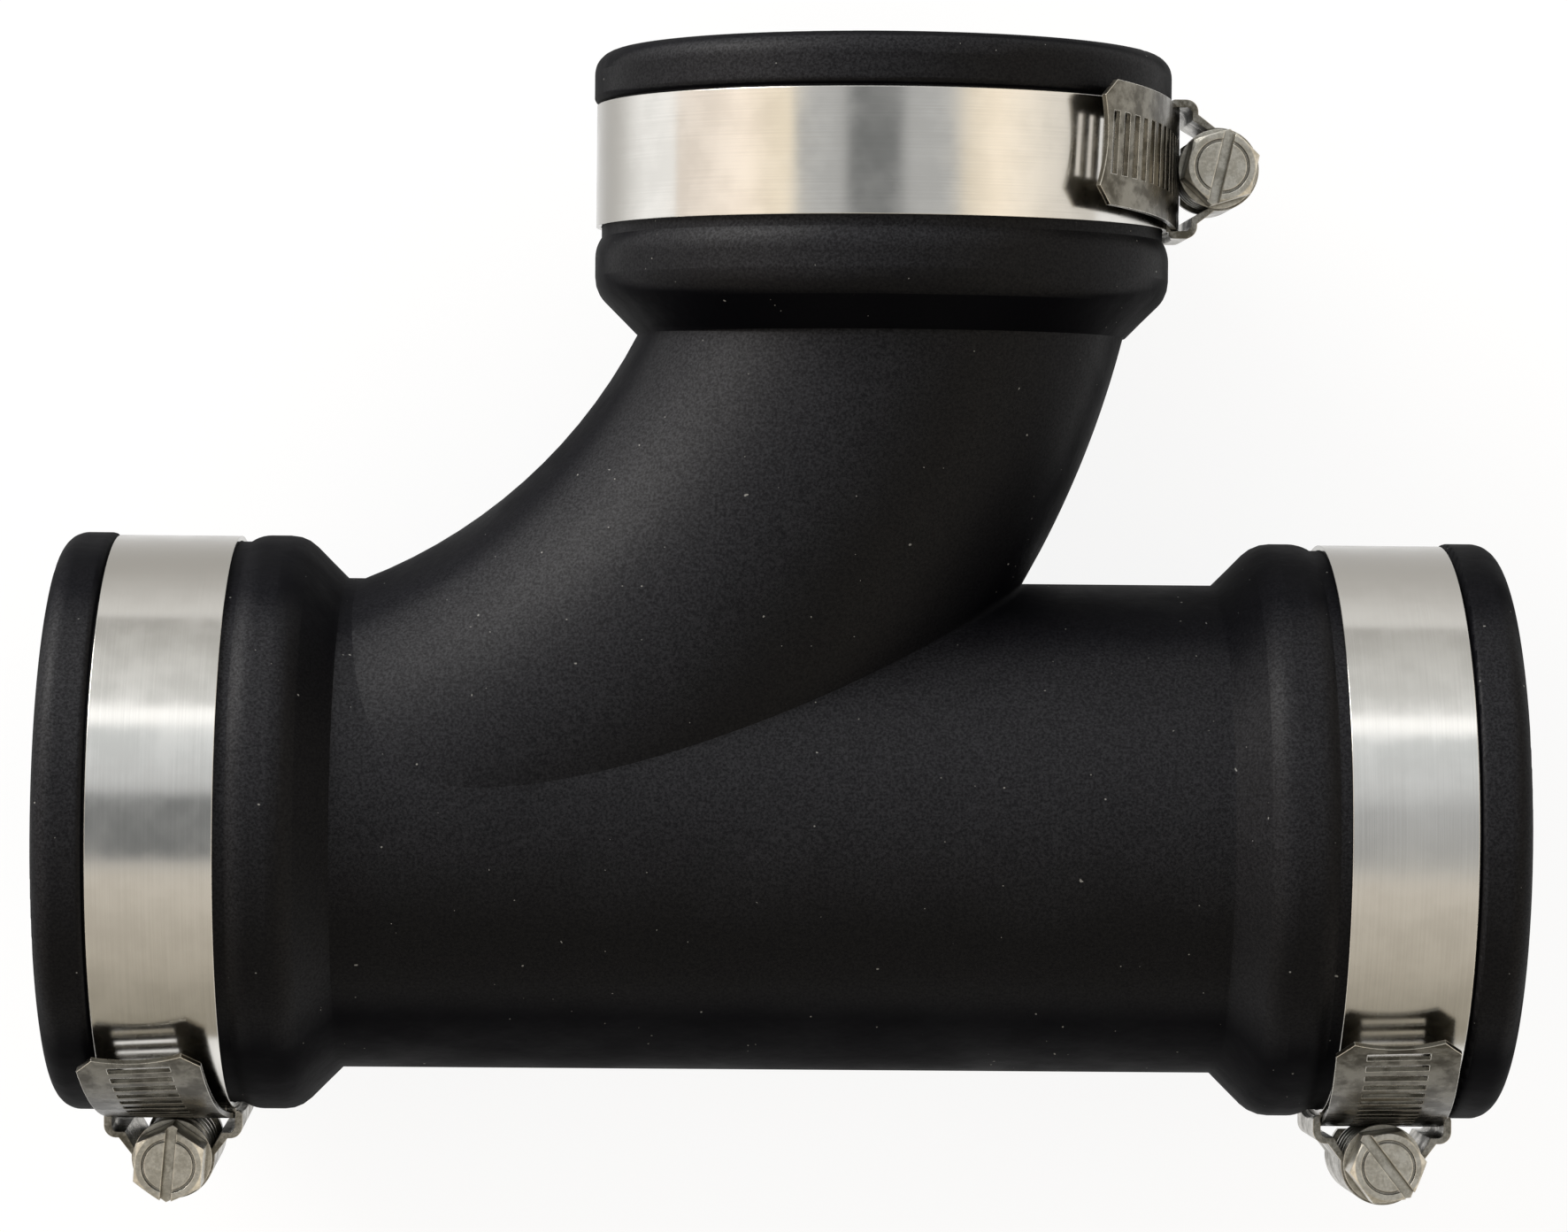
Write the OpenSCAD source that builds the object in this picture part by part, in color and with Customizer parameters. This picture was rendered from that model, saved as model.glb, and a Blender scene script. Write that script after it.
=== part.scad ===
// Rubber pipe tee with a swept branch and three worm-drive clamps.
// It lies on its back: X along the run, Y along the branch, Z up, clamp screws facing up.

/* [Run and branch] */
// Length of the straight run, end to end
run_length = 169.4; // [166:0.2:180]
// Reach of the branch from the run's axis to its open end
branch_reach = 91.5; // [90:0.5:100]
// How far the branch stands to the right of the middle of the run
branch_offset = 11.6; // [10:0.2:13]
// Outside diameter of the pipe that the sockets take
pipe_d = 60.33; // [60:0.01:60.6]

/* [Rubber] */
// Wall of the run between its collars
waist_wall = 3.6; // [3.2:0.1:4]
// Outside diameter of the run between its collars
waist_d = 58; // [57.6:0.2:58.4]
// Wall of each collar under its clamp
collar_wall = 3.05; // [2.9:0.05:3.2]
// How far the rib behind each clamp stands below the lip
rib_step = 0.2; // [0:0.05:0.4]
// Depth of the clamp's groove below the rib
groove_depth = 0.75; // [0.7:0.05:0.8]
// Radius of the rounded outer edge of each lip
lip_round = 2.6; // [1.5:0.1:3]
// Depth of each socket up to its stop
socket_depth = 27.5; // [26.5:0.1:27.8]
// Length of each lip, up to the edge of its clamp
lip_length = 6.35; // [5.5:0.05:7]
// Free strip of the groove beside the clamp, on the side of the rib
groove_spare = 1.25; // [0.8:0.05:1.6]
// Length of the rib along its pipe
rib_length = 6.4; // [6.2:0.1:7]
// Radius of the rounded rib, towards the groove and towards the taper
rib_round = 4.2; // [3:0.1:4.4]
// Radius of the rounded edge of the lip beside the clamp
lip_heel = 0.7; // [0.4:0.1:0.8]

/* [Sweep] */
// Radius of the bend's centre line
sweep_r = 88.4; // [86:0.2:90]
// Outside width of the bent tube
sweep_d = 54.2; // [53.6:0.2:54.6]
// Half of the amount by which the bent tube is taller than wide
sweep_rise = 1.3; // [1.1:0.1:1.3]
// How far the branch's straight line stands inside the bend's outermost point
sweep_overrun = 4.9; // [4:0.1:5.5]
// How far the bend dips past the run's axis
sweep_dip = 2.4; // [1.8:0.1:2.6]

/* [Clamp band] */
// Width of the steel band
band_w = 14.29; // [14:0.01:14.4]
// Thickness of the steel band
band_t = 0.6; // [0.5:0.01:0.62]
// Distance from one slot to the next along the band
slot_pitch = 2.1; // [2.05:0.01:2.15]
// Length of a slot across the band
slot_l = 7.2; // [6.6:0.1:7.6]
// Width of a slot along the band
slot_w = 1.15; // [1.1:0.01:1.2]
// Slots between the middle of the screw and the free end
slots_ahead = 14; // [12:1:15]
// Slots behind the screw, which give the clamp its range
slots_behind = 24; // [16:1:30]
// Radius of the free end's flat curve out of the housing
lead_r = 70; // [60:1:80]
// Angle over which that flat curve runs
lead_turn = 14.8; // [13:0.1:16]
// Radius of the free end's tighter curve up to its tip
curl_r = 34; // [32:0.5:38]
// Angle over which that tighter curve runs
curl_turn = 31.3; // [28:0.1:33]
// Cut across each corner of the free end
tail_corner = 2; // [1.5:0.1:2.5]
// Depth of the hollow cut of the free end between its corners
tail_hollow = 0.9; // [0.4:0.1:1.2]
// Lean of the left clamp's free end across its collar
left_tail_lean = -5; // [-6:0.5:6]
// Lean of the right clamp's free end
right_tail_lean = -2.5; // [-6:0.5:6]
// Lean of the branch clamp's free end
branch_tail_lean = 4.5; // [-6:0.5:6]

/* [Clamp housing] */
// How deep the worm's threads stand in the slots of the band
worm_bite = 0.5; // [0.4:0.05:0.55]
// How much higher the band stands under the worm than over the feet
band_rise = 0.4; // [0.35:0.05:0.5]
// Length of the housing along the screw
housing_l = 14.8; // [14:0.1:16]
// Overall width of the housing at its foot
housing_w = 16.3; // [16.2:0.1:16.8]
// Thickness of the sheet round the worm
sheet_t = 0.7; // [0.6:0.05:0.8]
// Thickness of the saddle and of the feet that grip it
saddle_t = 0.5; // [0.4:0.05:0.5]
// Width between the two feet, where the saddle lies
foot_opening = 12.6; // [12:0.1:13]
// Turn of the left clamp round its collar
left_clamp_turn = -3; // [-6:0.5:6]
// Turn of the right clamp round its collar
right_clamp_turn = 3; // [-6:0.5:6]

/* [Clamp screw] */
// Size of the hexagon across its flats
hex_af = 7.94; // [7.8:0.01:8.1]
// Height of the hexagon above its washer
hex_h = 4.8; // [4:0.1:5.5]
// Diameter of the washer under the hexagon
washer_d = 9.3; // [9.2:0.05:9.3]
// Thickness of the washer
washer_t = 0.7; // [0.5:0.05:0.9]
// Diameter of the worm over its threads
worm_d = 8.2; // [8:0.05:8.3]
// Width of the driver slot across the hexagon
driver_w = 1.3; // [1:0.1:1.5]
// Depth of the driver slot
driver_depth = 1.5; // [1:0.1:2]
// Diameter of the ring turned into the face of the hexagon
face_ring_d = 6.4; // [6:0.1:6.8]
// Turn of the left screw as it stands
left_screw_turn = -5; // [-30:1:30]
// Turn of the right screw as it stands
right_screw_turn = 38; // [-60:1:60]
// Turn of the branch screw as it stands
branch_screw_turn = 77; // [0:1:120]

/* [Hidden] */
$fn = 96;

// Named clearances
seat_gap = 0.05;        // between parts that rest on each other
running_gap = 0.08;     // radial, round the turning screw
socket_ease = 0.035;    // radial, so that the pipe slides in before the clamp closes
slide_gap = 0.12;       // beside the band where it slides through the housing
top_gap = 0.6;          // over the band where it slides through the housing
core_gap = 0.2;         // between the band and the bottom of the thread

// Rubber, measured along each pipe from its open end
groove_play = 0.3;
waist_r = waist_d / 2;
waist_bore_r = waist_r - waist_wall;
socket_r = pipe_d / 2 + socket_ease;
groove_r = socket_r + collar_wall;
rib_r = groove_r + groove_depth;
lip_r = rib_r + rib_step;
rib_start = lip_length + band_w + groove_spare;
taper_start = rib_start + rib_length;
taper_end = taper_start + rib_r - waist_r;
rib_crown = rib_start + sqrt(2 * rib_round * groove_depth - groove_depth * groove_depth);
rib_shoulder = taper_start - rib_round * tan(22.5);
lip_end = lip_length - groove_play;
band_middle = lip_length + band_w / 2;
half_run = run_length / 2;
overlap = 1;            // by which joined solids run into each other

// Bend, from a centre to the left of the branch and above the run
sweep_tube_r = sweep_d / 2;
sweep_bore_r = sweep_tube_r - waist_wall;
sweep_x = branch_offset + sweep_overrun - sweep_r;
sweep_y = sweep_r - sweep_dip;
sweep_from = -84;
sweep_to = -11;

// Clamp, in a frame of its own: x away from the pipe, y along the pipe, z along the screw
band_in_r = groove_r + seat_gap;
band_out_r = band_in_r + band_t;
saddle_in_r = band_out_r + seat_gap;
saddle_out_r = saddle_in_r + saddle_t;
wall_in_r = lip_r + seat_gap;
band_top_x = saddle_out_r + seat_gap + band_rise + band_t;
channel_top_x = band_top_x + top_gap;
shoulder_x = channel_top_x + sheet_t;
channel_w = band_w + 2 * slide_gap;
channel_round = 0.75;
foot_round = 0.7;
worm_r = worm_d / 2;
screw_reach = band_top_x - worm_bite + worm_r;
barrel_in_r = worm_r + running_gap;
barrel_out_r = barrel_in_r + sheet_t;
flank_w = 12.8;
flank_rise = 2.1;
flank_x = shoulder_x + flank_rise;
flank_inset = 0.1;
end_wall = 1.2;
half_housing = housing_l / 2;
wall_foot_x = sqrt(wall_in_r * wall_in_r - half_housing * half_housing);

// Path of the band's outer face: highest at the crest under the worm, down to the ring behind it
crest_z = -5;
bend_r = 12.6;
fixed_end = -12;
degrees_in_arc = 180 / PI;
lead_l = lead_r * lead_turn / degrees_in_arc;
curl_l = curl_r * curl_turn / degrees_in_arc;
tail_end = crest_z + lead_l + curl_l;
tail_trim = 1;
lead_x = band_top_x - lead_r;
curl_centre = [
    lead_x + (lead_r - curl_r) * cos(lead_turn),
    crest_z + (lead_r - curl_r) * sin(lead_turn)
];
bend_x = band_top_x - bend_r;
lift_angle = atan(-crest_z / bend_x) + acos((band_out_r - bend_r) / norm([bend_x, crest_z]));
bend_l = bend_r * lift_angle / degrees_in_arc;
ramp_end = [bend_x + bend_r * cos(lift_angle), crest_z - bend_r * sin(lift_angle)];
ramp_start = band_out_r * [cos(lift_angle), -sin(lift_angle)];
ramp_l = norm(ramp_end - ramp_start);
ramp_bite = 0.03;
ramp_run_in = 3;
lead_steps = 7;
straight_steps = 5;
curl_steps = 13;
bend_steps = 12;
tail_start = crest_z + straight_steps * lead_l / lead_steps;

// Screw
pilot_r = 2.9;
core_r = screw_reach - band_top_x - core_gap;
washer_r = washer_d / 2;
front = half_housing + seat_gap;
peen_r = 3.6;
peen_taper = 0.5;
peen_t = 0.8;
rings_ahead = 3;
rings_behind = 2;
thread_tip = 0.55;
thread_root = 1.2;
thread_bite = 0.1;
ring_w = 0.35;
ring_depth = 0.25;
hex_corner = hex_af / sqrt(3);
top_face_r = hex_af / 2 - 0.1;
chamfer_slope = 1.7;

// Frame: the lips rest on the ground, and the origin is the middle of what they carry
axis_z = lip_r;
lean = max(abs(left_clamp_turn), abs(right_clamp_turn));
clamp_reach = (screw_reach + barrel_out_r) * cos(lean) + half_housing * sin(lean);
y_shift = (clamp_reach - branch_reach) / 2;

rubber = [0.16, 0.16, 0.17];
band_steel = [0.72, 0.72, 0.70];
housing_steel = [0.62, 0.62, 0.60];
saddle_steel = [0.50, 0.50, 0.49];
screw_steel = [0.78, 0.78, 0.76];

// Places for the three open ends and for the three clamps
module at_left_end() translate([-half_run, y_shift, axis_z]) rotate([0, 90, 0]) children();
module at_right_end() translate([half_run, y_shift, axis_z]) rotate([0, -90, 0]) children();
module at_branch_end()
    translate([branch_offset, branch_reach + y_shift, axis_z]) rotate([90, 0, 0]) children();
module at_left_clamp()
    translate([-half_run + band_middle, y_shift, axis_z])
        rotate([0, 0, -90]) rotate([0, -left_clamp_turn, 0]) children();
module at_right_clamp()
    translate([half_run - band_middle, y_shift, axis_z])
        rotate([0, 0, -90]) rotate([0, -right_clamp_turn, 0]) children();
module at_branch_clamp()
    translate([branch_offset, branch_reach - band_middle + y_shift, axis_z]) children();

// Sector of a disc, from one angle to another
module sector(centre, r, from, to) {
    translate(centre) intersection() {
        circle(r);
        polygon([[0, 0], 2 * r * [cos(from), sin(from)], 2 * r * [cos(to), sin(to)]]);
    }
}

// Outside of a collar: lip, groove for the clamp, rib and taper, turned about its pipe
module collar_outside() {
    rib_core_r = rib_r - rib_round;
    rotate_extrude() union() {
        polygon([
            [0, 0], [lip_r - lip_round, 0], [lip_r, lip_round],
            [lip_r, lip_end - lip_heel], [lip_r - lip_heel, lip_end],
            [groove_r, lip_end], [groove_r, rib_start],
            [rib_r, rib_crown], [rib_r, rib_shoulder],
            [rib_core_r + rib_round * cos(45), rib_shoulder + rib_round * sin(45)],
            [waist_r, taper_end], [0, taper_end]
        ]);
        sector([lip_r - lip_round, lip_round], lip_round, -90, 0);
        sector([lip_r - lip_heel, lip_end - lip_heel], lip_heel, 0, 90);
        sector([rib_core_r, rib_crown], rib_round, -asin((rib_crown - rib_start) / rib_round), 0);
        sector([rib_core_r, rib_shoulder], rib_round, 0, 45);
    }
}

module socket() translate([0, 0, -overlap]) cylinder(h = socket_depth + overlap, r = socket_r);

// Bend between the left collar and the branch, as a tube of half width r turned about its centre
module sweep(r) {
    translate([sweep_x, sweep_y + y_shift, axis_z])
        rotate([0, 0, sweep_from])
            rotate_extrude(angle = sweep_to - sweep_from)
                translate([sweep_r, 0]) {
                    square([2 * r, 2 * sweep_rise], center = true);
                    for (side = [-1, 1])
                        translate([0, side * sweep_rise]) circle(r);
                }
}

module rubber_tee() {
    color(rubber) difference() {
        union() {
            at_left_end() collar_outside();
            at_right_end() collar_outside();
            at_branch_end() collar_outside();
            at_left_end() translate([0, 0, taper_end - overlap])
                cylinder(h = run_length - 2 * (taper_end - overlap), r = waist_r);
            sweep(sweep_tube_r);
        }
        at_left_end() socket();
        at_right_end() socket();
        at_branch_end() socket();
        at_left_end() translate([0, 0, overlap])
            cylinder(h = run_length - 2 * overlap, r = waist_bore_r);
        at_branch_end() translate([0, 0, overlap])
            cylinder(h = taper_end - 2 * overlap, r = waist_bore_r);
        sweep(sweep_bore_r);
    }
}

// Place and slope of the band's outer face at a distance s along each stretch of it
function on_arc(centre, r, a) = [centre[0] + r * cos(a), centre[1] + r * sin(a), a];
function along_curl(s) = on_arc(curl_centre, curl_r, lead_turn + s / curl_r * degrees_in_arc);
function along_lead(s) = on_arc([lead_x, crest_z], lead_r, s / lead_r * degrees_in_arc);
function along_bend(s) = on_arc([bend_x, crest_z], bend_r, -s / bend_r * degrees_in_arc);
function along_ramp(s) =
    let (p = ramp_end + (ramp_start - ramp_end) * s / ramp_l)
    [p[0], p[1], -lift_angle];
function along_ring(s) = on_arc([0, 0], band_out_r, -lift_angle - s / band_out_r * degrees_in_arc);

// The same for the whole band, from the middle of the screw towards the free end
function along_band(s) =
    let (d = s - crest_z)
    d > lead_l ? along_curl(d - lead_l) :
    d > 0 ? along_lead(d) :
    d > -bend_l ? along_bend(-d) :
    d > -bend_l - ramp_l ? along_ramp(-d - bend_l) :
    along_ring(-d - bend_l - ramp_l);

// Side view of the band: round the collar, up into the housing and out at its front
function inner_face(line) = [for (p = line) [p[0] - band_t * cos(p[2]), p[1] - band_t * sin(p[2])]];
function outer_face(line) = [for (k = [len(line) - 1 : -1 : 0]) [line[k][0], line[k][1]]];
housed_line = concat(
    [for (k = [straight_steps : -1 : 1]) along_lead(k * lead_l / lead_steps)],
    [for (k = [0 : bend_steps]) along_bend(k * bend_l / bend_steps)]
);
module loop_path() {
    foot = (band_in_r - ramp_bite) * [cos(lift_angle), -sin(lift_angle)];
    slope = [sin(lift_angle), cos(lift_angle)];
    difference() {
        circle(band_out_r);
        circle(band_in_r);
        polygon([
            [0, 0],
            [2 * band_out_r * cos(fixed_end), 2 * band_out_r * sin(fixed_end)],
            [2 * band_out_r * cos(lift_angle), -2 * band_out_r * sin(lift_angle)]
        ]);
    }
    polygon(concat(
        inner_face(housed_line),
        [foot - ramp_run_in * slope, foot * (1 + band_t / norm(foot))],
        outer_face(housed_line)
    ));
}

// Side view of the free end, from the housing to just past its tip
tail_line = concat(
    [for (k = [curl_steps : -1 : 1]) along_curl(k * (curl_l + tail_trim) / curl_steps)],
    [for (k = [lead_steps : -1 : straight_steps]) along_lead(k * lead_l / lead_steps)]
);
module tail_path() polygon(concat(inner_face(tail_line), outer_face(tail_line)));

module on_band(s) {
    place = along_band(s);
    translate([place[0], 0, place[1]]) rotate([0, -place[2], 0]) children();
}

// The same, on the free end as it leans across the collar
module on_tail(s, tail_lean) {
    place = along_band(s);
    start = along_band(tail_start);
    reach = (place[1] - start[1]) * cos(start[2]) - (place[0] - start[0]) * sin(start[2]);
    on_band(s) translate([0, reach * tan(tail_lean), 0]) rotate([-tail_lean, 0, 0]) children();
}

// Free end of the band, cut to its lean, with cut corners and a hollow between them
module tail(tail_lean) {
    reach = tail_end - tail_start + tail_trim;
    drift = reach * tan(tail_lean);
    half_hollow = band_w / 2 - tail_corner;
    hollow_r = (half_hollow * half_hollow + tail_hollow * tail_hollow) / (2 * tail_hollow);
    difference() {
        intersection() {
            rotate([90, 0, 0]) linear_extrude(height = 2 * band_w, center = true) tail_path();
            on_band(tail_start) rotate([90, 0, 90]) linear_extrude(height = 2 * reach, center = true)
                polygon([
                    [-band_w / 2, -overlap], [band_w / 2, -overlap], [band_w / 2, 0],
                    [band_w / 2 + drift, reach], [drift - band_w / 2, reach], [-band_w / 2, 0]
                ]);
        }
        on_tail(tail_end, tail_lean) {
            translate([-band_t * 2, -band_w, 0]) cube([4 * band_t, 2 * band_w, band_w]);
            translate([0, 0, hollow_r - tail_hollow]) rotate([0, 90, 0])
                cylinder(h = 4 * band_t, r = hollow_r, center = true);
            for (side = [-1, 1])
                translate([0, side * band_w / 2, 0]) rotate([45, 0, 0])
                    cube([4 * band_t, tail_corner * sqrt(2), tail_corner * sqrt(2)], center = true);
        }
    }
}

module slot() cube([3 * band_t, slot_l, slot_w], center = true);

module band(tail_lean) {
    color(band_steel) difference() {
        union() {
            rotate([90, 0, 0]) linear_extrude(height = band_w, center = true) loop_path();
            tail(tail_lean);
        }
        for (i = [-slots_behind : slots_ahead])
            if (i * slot_pitch < tail_start) on_band(i * slot_pitch) slot();
            else on_tail(i * slot_pitch, tail_lean) slot();
    }
}

// Part of a sleeve round the pipe, as long as the housing, between two distances along the pipe
module sleeve(in_r, out_r, from_y, to_y) {
    intersection() {
        rotate([90, 0, 0]) translate([0, 0, -to_y])
            linear_extrude(height = to_y - from_y) difference() {
                circle(out_r);
                circle(in_r);
            }
        translate([in_r / 2, from_y - overlap, -half_housing])
            cube([in_r, to_y - from_y + 2 * overlap, housing_l]);
    }
}

// Saddle: a plate bent to the collar, which lies between the housing's feet
module saddle() {
    reach = foot_opening / 2 - seat_gap;
    color(saddle_steel) sleeve(saddle_in_r, saddle_out_r, -reach, reach);
}

// Bar across the band, from base_x out to top_x, with rounded corners
module bar(base_x, top_x, width, base_round, top_round) {
    half = width / 2;
    polygon([
        [base_x, base_round - half], [base_x, half - base_round],
        [base_x + base_round, half], [top_x - top_round, half],
        [top_x, half - top_round], [top_x, top_round - half],
        [top_x - top_round, -half], [base_x + base_round, -half]
    ]);
    for (side = [0, 1])
        mirror([0, side]) {
            sector([base_x + base_round, half - base_round], base_round, 90, 180);
            sector([top_x - top_round, half - top_round], top_round, 0, 90);
        }
}

// Flanks between the shoulders of the housing and its barrel
module flanks(top_x, width, barrel_r) {
    polygon([
        [top_x - sheet_t, -width / 2], [top_x, -width / 2],
        [flank_x, flank_inset - barrel_r], [flank_x, barrel_r - flank_inset],
        [top_x, width / 2], [top_x - sheet_t, width / 2]
    ]);
}

// End view of the housing, as a keyhole of sheet: barrel, flanks, shoulders and side walls
module housing_outline() {
    difference() {
        union() {
            translate([screw_reach, 0]) circle(barrel_out_r);
            flanks(shoulder_x, flank_w, barrel_out_r);
            bar(wall_foot_x, shoulder_x, housing_w, foot_round, channel_round + sheet_t);
        }
        translate([screw_reach, 0]) circle(barrel_in_r);
        flanks(channel_top_x, flank_w - 2 * sheet_t, barrel_in_r);
        bar(wall_foot_x - overlap - foot_round, channel_top_x, channel_w, foot_round, channel_round);
    }
}

module housing() {
    color(housing_steel) {
        difference() {
            translate([0, 0, -half_housing]) linear_extrude(height = housing_l) housing_outline();
            rotate([90, 0, 0]) cylinder(h = 2 * housing_w, r = wall_in_r, center = true);
        }
        for (side = [0, 1])
            mirror([0, side, 0])
                sleeve(saddle_in_r, saddle_out_r, foot_opening / 2, band_w / 2 + groove_play - seat_gap);
        translate([0, 0, -half_housing]) linear_extrude(height = end_wall) difference() {
            translate([screw_reach, 0]) circle(barrel_in_r + sheet_t / 2);
            translate([screw_reach, 0]) circle(pilot_r + running_gap);
            translate([screw_reach - 2 * barrel_out_r, -barrel_out_r])
                square([2 * barrel_out_r - screw_reach + channel_top_x, 2 * barrel_out_r]);
        }
    }
}

// One thread of the worm, drawn as a ring at the band's pitch
module thread_ring() {
    rotate_extrude() polygon([
        [core_r - thread_bite, -thread_root / 2], [worm_r, -thread_tip / 2],
        [worm_r, thread_tip / 2], [core_r - thread_bite, thread_root / 2]
    ]);
}

module screw(turn) {
    head_h = washer_t + hex_h;
    top_z = front + head_h;
    color(screw_steel) translate([screw_reach, 0, 0]) difference() {
        union() {
            translate([0, 0, -half_housing + end_wall + seat_gap])
                cylinder(h = housing_l - end_wall, r = core_r);
            for (i = [-rings_behind : rings_ahead])
                translate([0, 0, i * slot_pitch]) thread_ring();
            translate([0, 0, -front - peen_t])
                cylinder(h = peen_t + end_wall + overlap, r = pilot_r);
            translate([0, 0, -front - peen_t])
                cylinder(h = peen_t, r1 = peen_r - peen_taper, r2 = peen_r);
            translate([0, 0, front]) cylinder(h = washer_t, r = washer_r);
            translate([0, 0, front]) rotate([0, 0, turn]) intersection() {
                cylinder(h = head_h, r = hex_corner, $fn = 6);
                cylinder(h = head_h, r1 = top_face_r + chamfer_slope * head_h, r2 = top_face_r);
            }
        }
        rotate([0, 0, turn]) translate([-washer_d, -driver_w / 2, top_z - driver_depth])
            cube([2 * washer_d, driver_w, 2 * driver_depth]);
        translate([0, 0, top_z - ring_depth]) difference() {
            cylinder(h = overlap, r = face_ring_d / 2);
            translate([0, 0, -overlap]) cylinder(h = 3 * overlap, r = face_ring_d / 2 - ring_w);
        }
    }
}

module band_left() at_left_clamp() band(left_tail_lean);
module band_right() at_right_clamp() band(right_tail_lean);
module band_branch() at_branch_clamp() band(branch_tail_lean);
module saddle_left() at_left_clamp() saddle();
module saddle_right() at_right_clamp() saddle();
module saddle_branch() at_branch_clamp() saddle();
module housing_left() at_left_clamp() housing();
module housing_right() at_right_clamp() housing();
module housing_branch() at_branch_clamp() housing();
module screw_left() at_left_clamp() screw(left_screw_turn);
module screw_right() at_right_clamp() screw(right_screw_turn);
module screw_branch() at_branch_clamp() screw(branch_screw_turn);

rubber_tee();
band_left();
saddle_left();
housing_left();
screw_left();
band_right();
saddle_right();
housing_right();
screw_right();
band_branch();
saddle_branch();
housing_branch();
screw_branch();
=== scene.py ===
import bpy
from mathutils import Matrix, Vector

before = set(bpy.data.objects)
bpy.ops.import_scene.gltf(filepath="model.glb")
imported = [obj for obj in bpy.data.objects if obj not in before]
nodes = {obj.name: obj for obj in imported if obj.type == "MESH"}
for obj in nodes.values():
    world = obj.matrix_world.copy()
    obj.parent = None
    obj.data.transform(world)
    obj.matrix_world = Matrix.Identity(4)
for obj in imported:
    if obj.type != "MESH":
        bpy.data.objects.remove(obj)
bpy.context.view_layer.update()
print("frame loaded:", len(nodes), "nodes")


# a socket that takes part in sums, so that shader maths reads as maths
class Wire:
    def __init__(self, finish, socket):
        self.finish = finish
        self.socket = socket

    def sum(self, operation, first, second):
        return self.finish.node("ShaderNodeMath", {"operation": operation}, {0: first, 1: second})

    def __add__(self, other): return self.sum("ADD", self, other)
    def __radd__(self, other): return self.sum("ADD", other, self)
    def __sub__(self, other): return self.sum("SUBTRACT", self, other)
    def __rsub__(self, other): return self.sum("SUBTRACT", other, self)
    def __mul__(self, other): return self.sum("MULTIPLY", self, other)
    def __rmul__(self, other): return self.sum("MULTIPLY", other, self)
    def __pow__(self, other): return self.sum("POWER", self, other)
    def __abs__(self): return self.sum("ABSOLUTE", self, 0.0)


# one material or world, with the nodes in it
class Finish:
    def __init__(self, block):
        self.block = block
        block.use_nodes = True
        self.tree = block.node_tree
        self.tree.nodes.clear()

    def node(self, kind, settings=None, sockets=None, output=0):
        made = self.tree.nodes.new(kind)
        for name, value in (settings or {}).items():
            if name == "stops":
                ramp = made.color_ramp.elements
                while len(ramp) < len(value):
                    ramp.new(1.0)
                for stop, (place, tone) in zip(ramp, value):
                    stop.position = place
                    stop.color = (*tone, 1)
            else:
                setattr(made, name, value)
        for name, value in (sockets or {}).items():
            if isinstance(value, Wire):
                self.tree.links.new(value.socket, made.inputs[name])
            else:
                made.inputs[name].default_value = value
        return Wire(self, made.outputs[output])

    def parts(self, vector):
        split = self.node("ShaderNodeSeparateXYZ", {}, {0: vector}).socket.node
        return [Wire(self, socket) for socket in split.outputs]

    def object(self):
        return self.node("ShaderNodeTexCoord", output="Object")

    # noise over the piece, with grains of about this size in metres
    def grain(self, size, detail, rough, stretch=(1, 1, 1), shift=(0, 0, 0)):
        scale = tuple(s / size for s in stretch)
        spot = self.node("ShaderNodeMapping", {}, {
            "Vector": self.object(), "Scale": scale, "Location": shift})
        return self.node("ShaderNodeTexNoise", {}, {
            "Vector": spot, "Scale": 1.0, "Detail": detail, "Roughness": rough})

    # soft step from start to end, while the value goes from low to high
    def between(self, value, low, high, start=0.0, end=1.0):
        step = {"clamp": True, "interpolation_type": "SMOOTHSTEP"}
        return self.node("ShaderNodeMapRange", step, {
            "Value": value, "From Min": low, "From Max": high, "To Min": start, "To Max": end})

    def blend(self, share, first, second):
        first, second = [
            (*tone, 1) if isinstance(tone, tuple) else tone for tone in (first, second)]
        return self.node("ShaderNodeMix", {"data_type": "RGBA"}, {
            0: share, 6: first, 7: second}, output=2)

    def dot(self, first, second):
        return self.node("ShaderNodeVectorMath", {"operation": "DOT_PRODUCT"}, {
            0: first, 1: second}, output="Value")

    def bump(self, height, distance, under):
        return self.node("ShaderNodeBump", {}, {
            "Height": height, "Distance": distance, "Strength": 1.0, "Normal": under})

    # near 1 on open faces, falling towards 0 in corners and grooves
    def openness(self, reach):
        return self.node("ShaderNodeAmbientOcclusion", {"samples": 8, "only_local": True}, {
            "Distance": reach}, output="AO")

    def rounded(self, radius):
        return self.node("ShaderNodeBevel", {"samples": 6}, {"Radius": radius})

    # 0 on flat faces, rising to 1 along sharp edges
    def edges(self, roundedSkin, flat=0.02, sharp=0.2):
        skin = self.node("ShaderNodeNewGeometry", output="Normal")
        return self.between(1 - self.dot(roundedSkin, skin), flat, sharp)

    def shaded(self, fixed, linked):
        shader = self.node("ShaderNodeBsdfPrincipled", {}, {**fixed, **linked}, output="BSDF")
        return self.end("ShaderNodeOutputMaterial", shader)

    def end(self, kind, surface):
        self.tree.links.new(surface.socket, self.tree.nodes.new(kind).inputs["Surface"])
        return self.block


def grey(level):
    return (level, level, level)


# Camera: above the tee, as in the photograph
cameraAt = {
    "spot": (-0.00970, 0.0150235, 0.6115),
    "tilt": (0.0237, 0.0175, -0.0091),  # radians about X, Y and Z
    "focalPixels": 5482.42,
    "imagePixels": 1772,
    "sensorWidth": 36,
}


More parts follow.
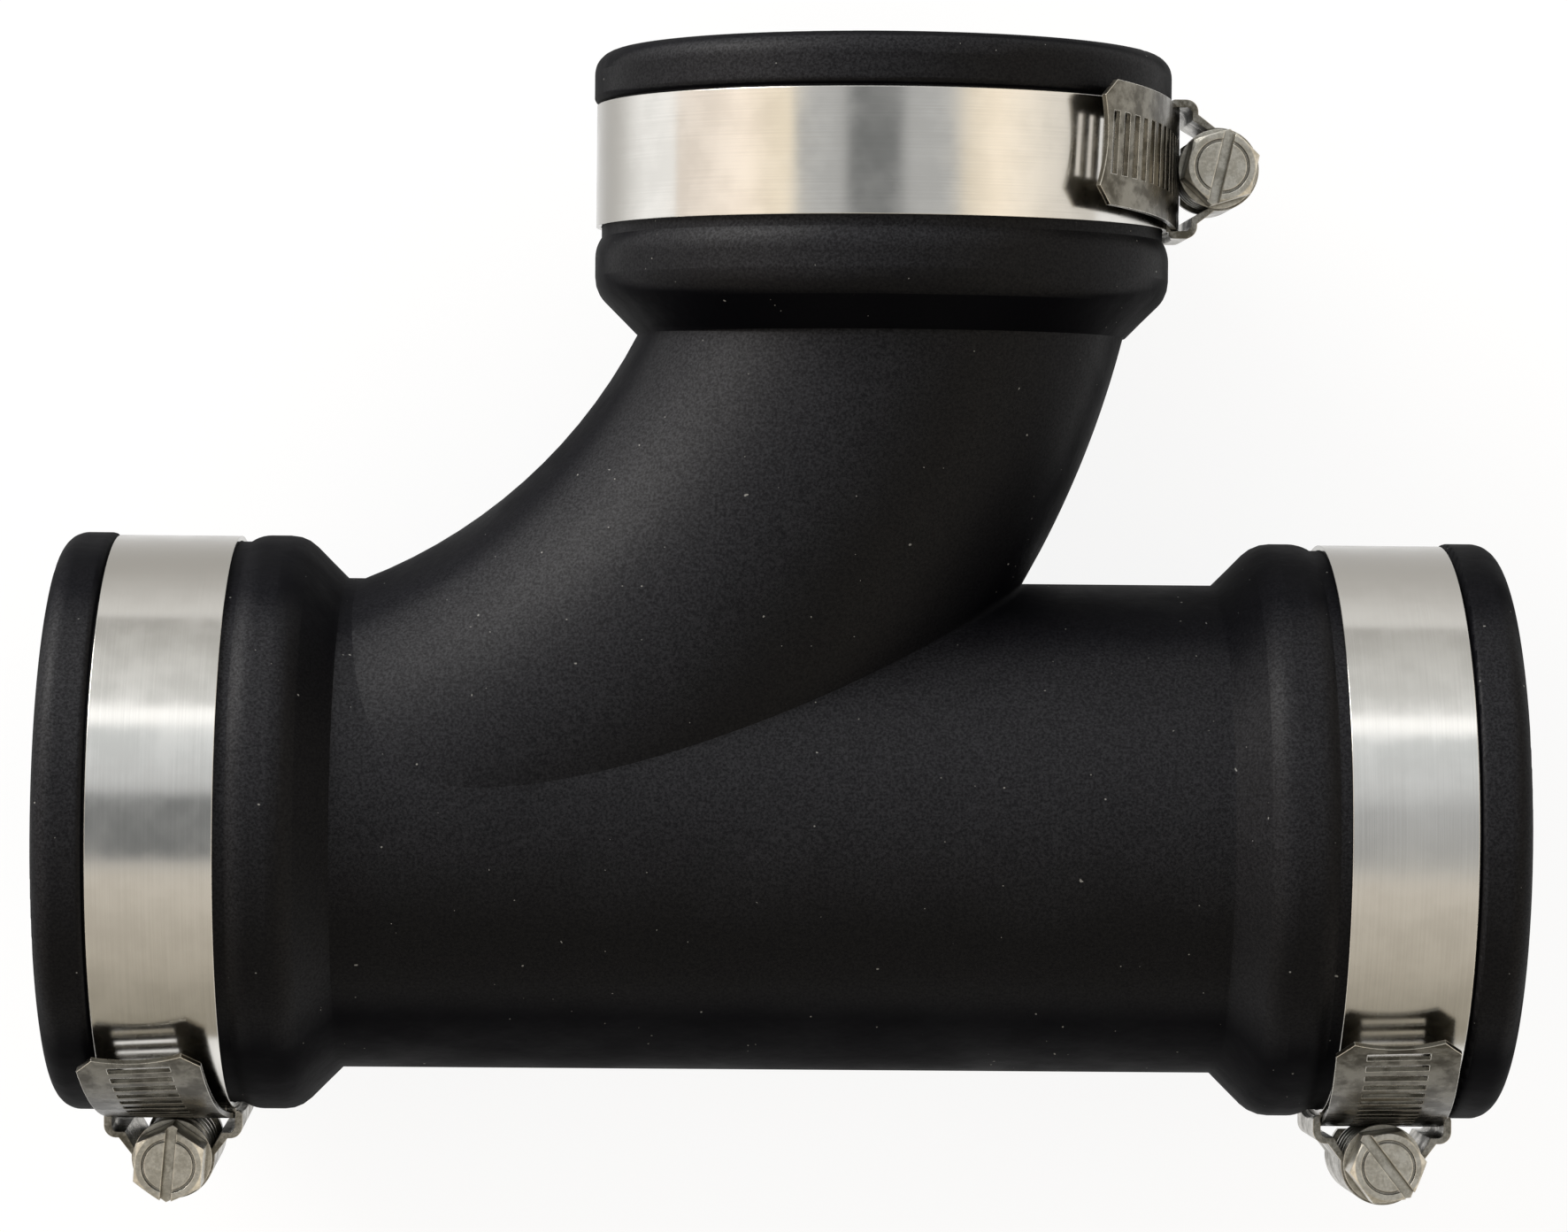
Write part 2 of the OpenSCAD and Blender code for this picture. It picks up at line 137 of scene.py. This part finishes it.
def addCamera():
    tiltX, tiltY, tiltZ = cameraAt["tilt"]
    turn = Matrix.Rotation(tiltZ, 4, "Z") @ Matrix.Rotation(tiltX, 4, "X")
    turn = turn @ Matrix.Rotation(tiltY, 4, "Y")
    data = bpy.data.cameras.new("camera")
    data.sensor_width = cameraAt["sensorWidth"]
    data.lens = cameraAt["focalPixels"] / cameraAt["imagePixels"] * cameraAt["sensorWidth"]
    camera = bpy.data.objects.new("camera", data)
    camera.matrix_world = Matrix.Translation(cameraAt["spot"]) @ turn.transposed()
    bpy.context.scene.collection.objects.link(camera)
    bpy.context.scene.camera = camera


addCamera()
print("camera placed")

# Floor: white paper that keeps the shadow
floorLook = {
    "size": 3.0,
    "tone": 0.8,  # for the light that it throws on the part
    "seenTone": 0.15,  # for the camera and in reflections, with the glow on top
    "seenGlow": 0.88,
    "roughness": 0.9,
}


def addFloor():
    half = floorLook["size"] / 2
    corners = [(-half, -half, 0), (half, -half, 0), (half, half, 0), (-half, half, 0)]
    mesh = bpy.data.meshes.new("floor")
    mesh.from_pydata(corners, [], [(0, 1, 2, 3)])
    floor = bpy.data.objects.new("floor", mesh)
    bpy.context.scene.collection.objects.link(floor)
    paper = Finish(bpy.data.materials.new("whitePaper"))
    camera, glossy, glass = [
        paper.node("ShaderNodeLightPath", output=name) for name in
        ("Is Camera Ray", "Is Glossy Ray", "Is Transmission Ray")]
    seen = paper.between(camera + glossy + glass, 0.0, 1.0)
    tone = paper.blend(seen, grey(floorLook["tone"]), grey(floorLook["seenTone"]))
    glow = paper.blend(seen, grey(0.0), grey(floorLook["seenGlow"]))
    mesh.materials.append(paper.shaded(
        {"Roughness": floorLook["roughness"], "Specular IOR Level": 0.0, "Emission Strength": 1.0},
        {"Base Color": tone, "Emission Color": glow}))


# Room: light walls with a strip light, brighter sides, and a dim hatch overhead
roomLook = {
    "level": 0.7,
    "alongY": [
        (0.0, (0.46, 0.42, 0.34)),
        (0.1, (0.7, 0.64, 0.54)),
        (0.34, (0.93, 0.86, 0.76)),
        (0.4, (0.84, 0.82, 0.78)),
        (0.46, (0.74, 0.74, 0.73)),
        (0.58, (0.78, 0.79, 0.8)),
        (0.68, (0.98, 1.0, 1.02)),
        (0.82, (1.08, 1.12, 1.14)),
        (0.845, (2.1, 2.1, 2.1)),  # strip light
        (0.868, (2.1, 2.1, 2.1)),
        (0.885, (1.15, 1.16, 1.15)),
        (1.0, (0.85, 0.84, 0.81)),
    ],
    "alongX": [
        (0.0, (1.35, 1.22, 1.1)),
        (0.07, (1.75, 1.55, 1.35)),
        (0.13, (1.45, 1.28, 1.05)),
        (0.18, (1.6, 1.42, 1.14)),
        (0.76, (1.3, 1.17, 0.97)),
        (0.85, (1.75, 1.55, 1.28)),
        (0.94, (1.4, 1.3, 1.15)),
        (1.0, (1.1, 1.05, 0.98)),
    ],
    "leftWall": (-0.63, -0.57),  # the left side fades into the walls along Y
    "rightWall": (0.43, 0.53),  # and they fade into the right side
    "hatchTone": (0.3, 0.31, 0.315),
    "hatchX": (-0.27, 0.1),
    "hatchY": (-0.2, 0.24),
    "hatchZ": (0.0, 0.1),
    "hatchSoft": 0.05,
}


def addRoom():
    world = bpy.data.worlds.new("room")
    bpy.context.scene.world = world
    room = Finish(world)
    x, y, z = room.parts(room.node("ShaderNodeTexCoord", output="Generated"))  # each -1 to 1
    walls = room.node("ShaderNodeValToRGB", {"stops": roomLook["alongY"]}, {0: y * 0.5 + 0.5})
    sides = room.node("ShaderNodeValToRGB", {"stops": roomLook["alongX"]}, {0: x * 0.5 + 0.5})
    middle = room.between(x, *roomLook["leftWall"])
    middle = middle * (1 - room.between(x, *roomLook["rightWall"]))
    walls = room.blend(middle, sides, walls)
    soft = roomLook["hatchSoft"]
    hatch = room.between(z, *roomLook["hatchZ"])
    for along, (low, high) in ((x, roomLook["hatchX"]), (y, roomLook["hatchY"])):
        hatch = hatch * room.between(along, low - soft, low + soft)
        hatch = hatch * (1 - room.between(along, high - soft, high + soft))
    walls = room.blend(hatch, walls, roomLook["hatchTone"])
    glow = room.node("ShaderNodeBackground", {}, {"Color": walls, "Strength": roomLook["level"]})
    room.end("ShaderNodeOutputWorld", glow)


# Soft box: low at the upper left, aimed at the middle of the part
softBox = {
    "spot": (-0.8, 0.78, 0.36),
    "aim": (0, 0, 0.03),
    "size": 0.6,
    "power": 12.0,
    "tint": (1.0, 0.985, 0.96),
}


def addSoftBox():
    light = bpy.data.lights.new("softBox", "AREA")
    light.size = softBox["size"]
    light.energy = softBox["power"]
    light.color = softBox["tint"]
    holder = bpy.data.objects.new("softBox", light)
    spot = Vector(softBox["spot"])
    aim = (Vector(softBox["aim"]) - spot).to_track_quat("-Z", "Y")
    holder.matrix_world = Matrix.Translation(spot) @ aim.to_matrix().to_4x4()
    bpy.context.scene.collection.objects.link(holder)


addFloor()
addRoom()
addSoftBox()
print("floor and lights placed")

noiseSpan = (0.3, 0.7)  # nearly all of a noise lies between these

# Rubber: matt black with a fine moulded grain, a few pale specks, and a paler tone on faces turned
# up and towards the upper left, partly settled dust and partly painted light
rubberLook = {
    "deep": (0.0016, 0.0017, 0.0027),
    "fine": {"size": 0.00032, "detail": 4.0, "rough": 0.75},
    "fineDepth": 0.00002,
    "cloud": {"size": 0.014, "detail": 4.0, "rough": 0.6},
    "cloudDepth": 0.0003,
    "dustyAndLit": (0.018, 0.0185, 0.0222),
    "dustAndLightSide": (-0.3, 0.38, 0.87),  # faces turned this way are paler: settled dust and painted light from the soft box's side
    "dustAndLightSpan": (0.76, 1.08),
    "dustAndLightPatchy": 0.2,
    "dustAndLightInGrain": (0.36, 0.66, 0.2, 1.0),
    "speck": (0.2, 0.2, 0.195),
    "specks": {"size": 0.00055, "detail": 0.0, "rough": 0.0, "shift": (3, 1, 2)},
    "speckSpan": (0.875, 0.885),
    "roughness": (0.55, 0.7),
    "gloss": 0.03,
    "sheen": 0.25,
    "sheenSpread": 0.5,
    "sheenSpan": (0.4, 0.6),
    "sheenTurn": (0.2, 0.08, -0.3),  # more on sides, more towards +Y, less towards either Y
    "sheenInGrain": (0.6, 1.4),
    "edgeRound": 0.0016,
}


def rubberMaterial():
    look = rubberLook
    rubber = Finish(bpy.data.materials.new("rubber"))
    fine = rubber.grain(**look["fine"])
    cloud = rubber.grain(**look["cloud"])
    normal = rubber.node("ShaderNodeTexCoord", output="Normal")

    # painted light with dust: faces turned up and towards the soft box get the paler tone
    facing = rubber.dot(normal, look["dustAndLightSide"]) + cloud * look["dustAndLightPatchy"]
    settledAndLit = rubber.between(facing, *look["dustAndLightSpan"])
    dustAndLight = settledAndLit * rubber.between(fine, *look["dustAndLightInGrain"])
    tone = rubber.blend(dustAndLight, look["deep"], look["dustyAndLit"])
    specks = rubber.between(rubber.grain(**look["specks"]), *look["speckSpan"])
    tone = rubber.blend(specks, tone, look["speck"])

    across, along, up = rubber.parts(normal)
    moreSides, moreAhead, lessEnds = look["sheenTurn"]
    upright = up + abs(along) * lessEnds + along * moreAhead + abs(across) * moreSides
    sheen = rubber.between(upright, *look["sheenSpan"])
    sheen = sheen * rubber.between(fine, *noiseSpan, *look["sheenInGrain"]) * look["sheen"]

    rough = rubber.between(cloud, *noiseSpan, *look["roughness"])
    skin = rubber.bump(cloud, look["cloudDepth"], rubber.rounded(look["edgeRound"]))
    skin = rubber.bump(fine, look["fineDepth"], skin)
    return rubber.shaded(
        {"Specular IOR Level": look["gloss"], "Coat Roughness": look["sheenSpread"]},
        {"Base Color": tone, "Roughness": rough, "Coat Weight": sheen, "Normal": skin})


# Steel bands: satin, brushed along their length
bandLook = {
    "bright": (0.8, 0.785, 0.75),
    "dull": (0.72, 0.705, 0.67),
    "toneSpan": (0.36, 0.64),
    "patches": {"size": 0.005, "detail": 3.0, "rough": 0.5},
    "lines": {"size": 0.00016, "detail": 2.0, "rough": 0.6},
    "lineThin": 0.006,
    "lineShare": 0.3,
    "lineDepth": 0.000003,
    "roughness": (0.13, 0.2),
    "screwSideShade": (0.44, 0.425, 0.395),  # painted shade on the band's side towards the screw, for a darker reflection
    "screwSideShadeSpan": (0.025, 0.0325),
    "farSideShade": (0.29, 0.275, 0.245),  # painted shade on the band's side away from the screw, for a darker reflection
    "farSideShadeSpan": {"left": (0.019, 0.0325), "right": (0.019, 0.034), "branch": (0.0275, 0.033)},
}

# Tails: the bands' free ends, stained and worn, their tone kept dark as painted shade for the dark
# that they reflect, with painted glints on their edges and painted shade with grime in their slots
# and towards the screw
tailLook = {
    "bright": (0.22, 0.205, 0.17),
    "dull": (0.085, 0.077, 0.06),
    # painted shade: how much darker still each tail is
    "share": {"left": 0.7, "right": 0.7, "branch": 1.0},
    "toneSpan": (0.36, 0.62),
    "stains": {"size": 0.0032, "detail": 4.0, "rough": 0.65, "shift": (5, 2, 1)},
    "stainDepth": 0.00006,
    "roughSpan": (0.4, 0.6),
    "roughAdded": (0.16, 0.06),
    # painted glints with wear: the tails' edges and slot rims are paler
    "edge": (0.95, 0.92, 0.84),
    "edgeWear": 0.85,
    "grimeAndShade": (0.012, 0.011, 0.008),
    "grimeAndShadeReach": 0.0009,
    "grimeAndShadeOpen": (0.3, 0.85),
    "grimeAndShadeShare": 0.75,
    "grimeAndShadeSpan": (0.0275, 0.0345),  # painted shade with grime, sideways towards the screw
    "span": (0.03415, 0.0349),  # distance from the pipe's line at which a band becomes a tail
}

# Housings and screws: worked steel, patchy, with worn edges, and grime with painted shade
# darkening the corners
workedLook = {
    "fine": {"size": 0.0004, "detail": 3.0, "rough": 0.6},
    "fineDepth": 0.00003,
    "patchDetail": 4.0,
    "patchRough": 0.6,
    "patchShare": 0.65,
    "toneSpan": (0.38, 0.62),
    "edgeWear": 0.7,
    "grimeAndShadeOpen": (0.35, 0.8),
}
housingLook = {
    "bright": (0.42, 0.4, 0.355),
    "dull": (0.13, 0.12, 0.095),
    "edge": (0.62, 0.59, 0.52),
    "grimeAndShade": (0.02, 0.018, 0.014),
    "grimeAndShadeReach": 0.0016,
    "patchSize": 0.0028,
    "roughness": (0.4, 0.24),
}
screwLook = {
    "bright": (0.7, 0.675, 0.605),
    "dull": (0.45, 0.43, 0.375),
    "edge": (0.85, 0.82, 0.74),
    "grimeAndShade": (0.03, 0.026, 0.018),
    "grimeAndShadeReach": 0.0007,
    "patchSize": 0.0019,
    "roughness": (0.42, 0.3),
}
edgeRound = 0.00018  # of all the steel

# the way that each pipe runs, and the sideways place and height of its line
pipeLines = {
    "left": ("x", -0.0235965, 0.0342),
    "right": ("x", -0.0235965, 0.0342),
    "branch": ("y", 0.0116, 0.0342),
}


# sideways distance from the pipe's line, away from the screw, and distance from it all round
def fromPipe(steel, side):
    way, place, height = pipeLines[side]
    x, y, z = steel.parts(steel.object())
    offset = y - place if way == "x" else place - x
    rise = z - height
    return offset, (offset * offset + rise * rise) ** 0.5


def bandMaterial(side):
    look, tail = bandLook, tailLook
    steel = Finish(bpy.data.materials.new(side + "BandSteel"))
    thin = look["lineThin"]
    brushed = (1, thin, thin) if pipeLines[side][0] == "x" else (thin, 1, thin)
    lines = steel.grain(**look["lines"], stretch=brushed)
    patches = steel.grain(**look["patches"])
    stains = steel.grain(**tail["stains"])
    awayFromScrew, distance = fromPipe(steel, side)
    towardsScrew = 0 - awayFromScrew
    soft = steel.rounded(edgeRound)

    mixed = lines * look["lineShare"] + patches * (1 - look["lineShare"])
    bandTone = steel.blend(steel.between(mixed, *look["toneSpan"]), look["dull"], look["bright"])
    # painted shade: the band's sides darken towards and away from the screw, standing for darker
    # reflections
    screwSideShade = steel.between(towardsScrew, *look["screwSideShadeSpan"])
    bandTone = steel.blend(screwSideShade, bandTone, look["screwSideShade"])
    farSideShade = steel.between(awayFromScrew, *look["farSideShadeSpan"][side])
    bandTone = steel.blend(farSideShade, bandTone, look["farSideShade"])

    # painted shade: the tail's stained tone is darkened, and the left and right tails darker still
    share = tail["share"][side]
    dull, bright = [tuple(part * share for part in tail[name]) for name in ("dull", "bright")]
    tailTone = steel.blend(steel.between(stains, *tail["toneSpan"]), dull, bright)
    # painted glints with wear: tail edges and slot rims brighter
    tailTone = steel.blend(steel.edges(soft) * tail["edgeWear"], tailTone, tail["edge"])
    # painted shade with grime: corners, grooves and slots darker
    clearOfGrimeAndShade = steel.between(steel.openness(tail["grimeAndShadeReach"]), *tail["grimeAndShadeOpen"])
    tailTone = steel.blend(clearOfGrimeAndShade, tail["grimeAndShade"], tailTone)
    # painted shade with grime: the tail darkens towards the screw
    grimeAndShadeNearScrew = steel.between(towardsScrew, *tail["grimeAndShadeSpan"]) * tail["grimeAndShadeShare"]
    tailTone = steel.blend(grimeAndShadeNearScrew, tailTone, tail["grimeAndShade"])

    isTail = steel.between(distance, *tail["span"])
    rough = steel.between(patches, *noiseSpan, *look["roughness"])
    rough = rough + isTail * steel.between(stains, *tail["roughSpan"], *tail["roughAdded"])
    skin = steel.bump(stains * isTail, tail["stainDepth"], soft)
    skin = steel.bump(lines, look["lineDepth"], skin)
    return steel.shaded({"Metallic": 1.0}, {
        "Base Color": steel.blend(isTail, bandTone, tailTone), "Roughness": rough, "Normal": skin})


def workedMaterial(part, look):
    both = workedLook
    steel = Finish(bpy.data.materials.new(part + "Steel"))
    patches = steel.grain(look["patchSize"], both["patchDetail"], both["patchRough"])
    fine = steel.grain(**both["fine"])
    soft = steel.rounded(edgeRound)

    mixed = patches * both["patchShare"] + fine * (1 - both["patchShare"])
    tone = steel.blend(steel.between(mixed, *both["toneSpan"]), look["dull"], look["bright"])
    tone = steel.blend(steel.edges(soft) * both["edgeWear"], tone, look["edge"])
    # painted shade with grime: corners, grooves and slots darker
    clearOfGrimeAndShade = steel.between(steel.openness(look["grimeAndShadeReach"]), *both["grimeAndShadeOpen"])
    tone = steel.blend(clearOfGrimeAndShade, look["grimeAndShade"], tone)

    rough = steel.between(patches, *noiseSpan, *look["roughness"])
    skin = steel.bump(fine, both["fineDepth"], soft)
    return steel.shaded({"Metallic": 1.0}, {
        "Base Color": tone, "Roughness": rough, "Normal": skin})


def dress(node, material):
    piece = nodes[node]
    for slot in piece.material_slots:
        slot.material = material
    if not piece.material_slots:
        piece.data.materials.append(material)


dress("rubber_tee", rubberMaterial())
housingSteel = workedMaterial("housing", housingLook)
screwSteel = workedMaterial("screw", screwLook)
for side in pipeLines:
    dress("band_" + side, bandMaterial(side))
    dress("saddle_" + side, housingSteel)
    dress("housing_" + side, housingSteel)
    dress("screw_" + side, screwSteel)
print("materials on")

scene = bpy.context.scene
scene.view_settings.view_transform = "Standard"
